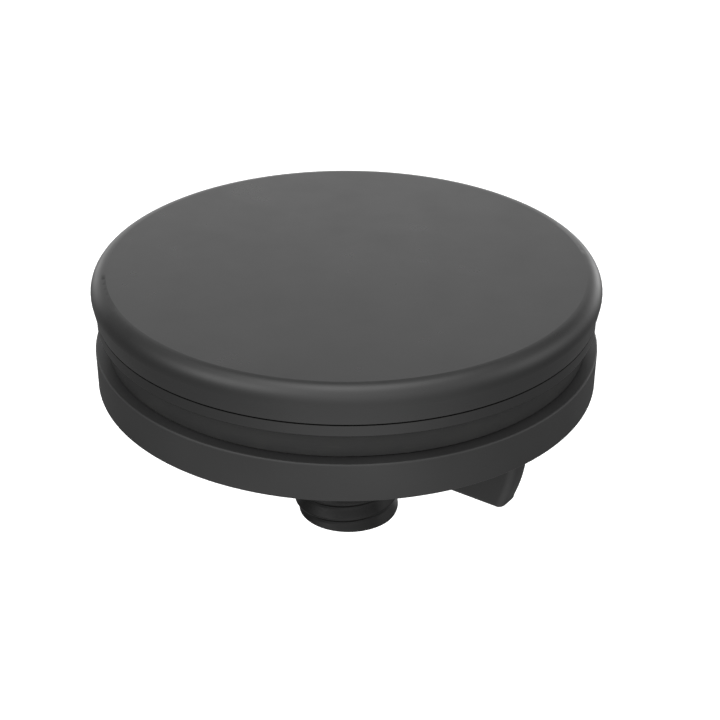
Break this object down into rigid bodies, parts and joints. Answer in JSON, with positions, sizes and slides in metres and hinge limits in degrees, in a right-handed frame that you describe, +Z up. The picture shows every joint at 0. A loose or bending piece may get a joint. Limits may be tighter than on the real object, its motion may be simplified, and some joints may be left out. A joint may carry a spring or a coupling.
{
  "type": "desk grommet",
  "caption": "Round blanking cover for a desk cable hole: rounded cap on a rubber gasket, centring ring, hanging threaded stud, clamp plate and wing nut.",
  "frame": {"origin": "on the stud's axis, at the desk surface: the underside of the gasket", "axes": "+Z up out of the desk top, along the stud's axis; the wing nut's near wing points 35 degrees from +X towards -Y"},
  "size_m": [0.0882, 0.0882, 0.0495],
  "materials": {
    "cover_plastic": "dark grey moulded plastic with a very fine spark texture, satin",
    "clamp_plastic": "dark grey moulded plastic, smooth satin",
    "stud_plastic": "near-black glass-filled plastic, semi-gloss",
    "gasket_rubber": "matt dark grey rubber",
    "plated_steel": "bright zinc plating"
  },
  "bodies": {
    "cover": {"cover_cap": "cover_plastic", "base_plate": "cover_plastic", "centring_ring": "clamp_plastic", "cover_screws": "plated_steel", "gasket": "gasket_rubber", "threaded_stud": "stud_plastic"},
    "clamp": {"clamp_plate": "clamp_plastic", "thrust_washer": "plated_steel"},
    "nut": {"wing_nut": "clamp_plastic"}
  },
  "joints": [
    {"name": "clamp_travel", "type": "slide", "parent": "cover", "child": "clamp", "axis": [0, 0, -1], "range_m": [0, 0.022]},
    {"name": "nut_turn", "type": "hinge", "parent": "clamp", "child": "nut", "pos_m": [0, 0, 0], "axis": [0, 0, 1], "range_deg": [-2475.5, 0]}
  ],
  "couplings": [
    {"joint": "nut_turn", "follows": "clamp_travel", "rad_per_m": -1963.5}
  ]
}
